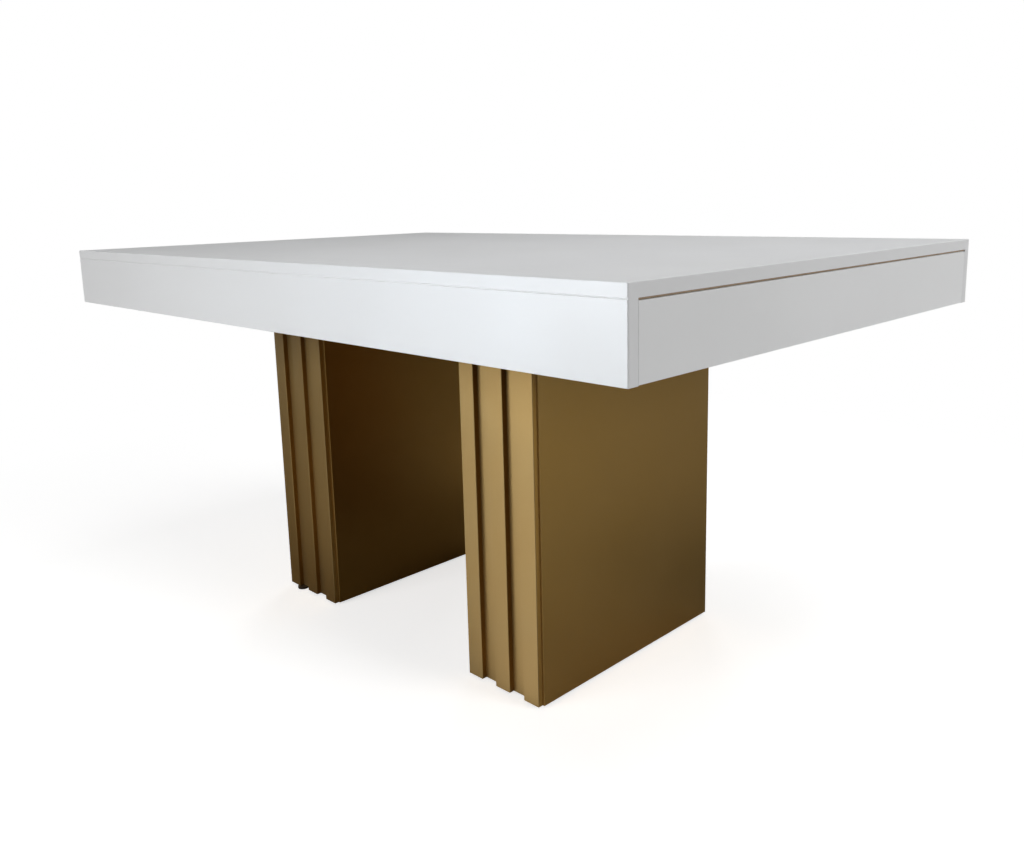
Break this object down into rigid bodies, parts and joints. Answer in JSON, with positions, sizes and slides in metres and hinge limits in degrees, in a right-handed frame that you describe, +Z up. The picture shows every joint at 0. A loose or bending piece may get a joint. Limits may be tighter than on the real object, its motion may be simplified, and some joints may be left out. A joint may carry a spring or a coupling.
{
  "type": "extending table",
  "caption": "Rectangular dining table with a deep white apron on fluted gold slab legs; end leaves pull out from under the top on ball slides.",
  "frame": {"origin": "on the floor, under the middle of the table top", "axes": "+X along the table towards its right end, +Y across it to the rear, +Z up"},
  "size_m": [1.55, 1, 0.76],
  "materials": {
    "white_lacquer": "satin white lacquer on fibreboard",
    "gold_lacquer": "satin metallic gold paint on fibreboard",
    "raw_board": "bare brown fibreboard",
    "beech": "plain beech dowel",
    "zinc_steel": "bright zinc plate",
    "bright_steel": "polished steel",
    "black_plastic": "moulded matt black"
  },
  "bodies": {
    "frame": {"table_top": "white_lacquer", "front_rail": "white_lacquer", "rear_rail": "white_lacquer", "right_leg_outer_panel": "gold_lacquer", "right_leg_inner_panel": "gold_lacquer", "right_leg_front_board": "gold_lacquer", "right_leg_rear_board": "gold_lacquer", "left_leg_outer_panel": "gold_lacquer", "left_leg_inner_panel": "gold_lacquer", "left_leg_front_board": "gold_lacquer", "left_leg_rear_board": "gold_lacquer", "right_leg_front_batten_1": "gold_lacquer", "right_leg_front_batten_2": "gold_lacquer", "right_leg_front_batten_3": "gold_lacquer", "right_leg_rear_batten_1": "gold_lacquer", "right_leg_rear_batten_2": "gold_lacquer", "right_leg_rear_batten_3": "gold_lacquer", "left_leg_front_batten_1": "gold_lacquer", "left_leg_front_batten_2": "gold_lacquer", "left_leg_front_batten_3": "gold_lacquer", "left_leg_rear_batten_1": "gold_lacquer", "left_leg_rear_batten_2": "gold_lacquer", "left_leg_rear_batten_3": "gold_lacquer", "centre_divider": "raw_board", "right_leg_carrier": "raw_board", "right_leg_top_plate": "raw_board", "right_leg_bottom_plate": "raw_board", "left_leg_carrier": "raw_board", "left_leg_top_plate": "raw_board", "left_leg_bottom_plate": "raw_board", "frame_dowels": "beech", "corner_brackets": "zinc_steel", "frame_screws": "zinc_steel", "leg_bolts": "zinc_steel", "leg_nuts": "zinc_steel", "right_slide_outer": "zinc_steel", "left_slide_outer": "zinc_steel", "leg_glides": "black_plastic"},
    "right_leaf": {"right_end_panel": "white_lacquer", "right_leaf_board": "white_lacquer", "right_leaf_front_side": "raw_board", "right_leaf_rear_side": "raw_board", "right_leaf_back": "raw_board", "right_leaf_dowels": "beech", "right_leaf_screws": "zinc_steel", "right_slide_inner": "zinc_steel"},
    "right_slide_middles": {"right_slide_middle": "zinc_steel"},
    "right_outer_cages": {"right_outer_ball_cages": "bright_steel"},
    "right_inner_cages": {"right_inner_ball_cages": "bright_steel"},
    "left_leaf": {"left_end_panel": "white_lacquer", "left_leaf_board": "white_lacquer", "left_leaf_front_side": "raw_board", "left_leaf_rear_side": "raw_board", "left_leaf_back": "raw_board", "left_leaf_dowels": "beech", "left_leaf_screws": "zinc_steel", "left_slide_inner": "zinc_steel"},
    "left_slide_middles": {"left_slide_middle": "zinc_steel"},
    "left_outer_cages": {"left_outer_ball_cages": "bright_steel"},
    "left_inner_cages": {"left_inner_ball_cages": "bright_steel"}
  },
  "joints": [
    {"name": "right_leaf_pull", "type": "slide", "parent": "frame", "child": "right_leaf", "axis": [1, 0, 0], "range_m": [0, 0.4]},
    {"name": "right_middle_run", "type": "slide", "parent": "frame", "child": "right_slide_middles", "axis": [1, 0, 0], "range_m": [0, 0.2]},
    {"name": "right_outer_cage_run", "type": "slide", "parent": "frame", "child": "right_outer_cages", "axis": [1, 0, 0], "range_m": [0, 0.1]},
    {"name": "right_inner_cage_run", "type": "slide", "parent": "frame", "child": "right_inner_cages", "axis": [1, 0, 0], "range_m": [0, 0.3]},
    {"name": "left_leaf_pull", "type": "slide", "parent": "frame", "child": "left_leaf", "axis": [-1, 0, 0], "range_m": [0, 0.4]},
    {"name": "left_middle_run", "type": "slide", "parent": "frame", "child": "left_slide_middles", "axis": [-1, 0, 0], "range_m": [0, 0.2]},
    {"name": "left_outer_cage_run", "type": "slide", "parent": "frame", "child": "left_outer_cages", "axis": [-1, 0, 0], "range_m": [0, 0.1]},
    {"name": "left_inner_cage_run", "type": "slide", "parent": "frame", "child": "left_inner_cages", "axis": [-1, 0, 0], "range_m": [0, 0.3]}
  ],
  "couplings": [
    {"joint": "right_middle_run", "follows": "right_leaf_pull", "ratio": 0.5},
    {"joint": "right_outer_cage_run", "follows": "right_leaf_pull", "ratio": 0.25},
    {"joint": "right_inner_cage_run", "follows": "right_leaf_pull", "ratio": 0.75},
    {"joint": "left_middle_run", "follows": "left_leaf_pull", "ratio": 0.5},
    {"joint": "left_outer_cage_run", "follows": "left_leaf_pull", "ratio": 0.25},
    {"joint": "left_inner_cage_run", "follows": "left_leaf_pull", "ratio": 0.75}
  ]
}
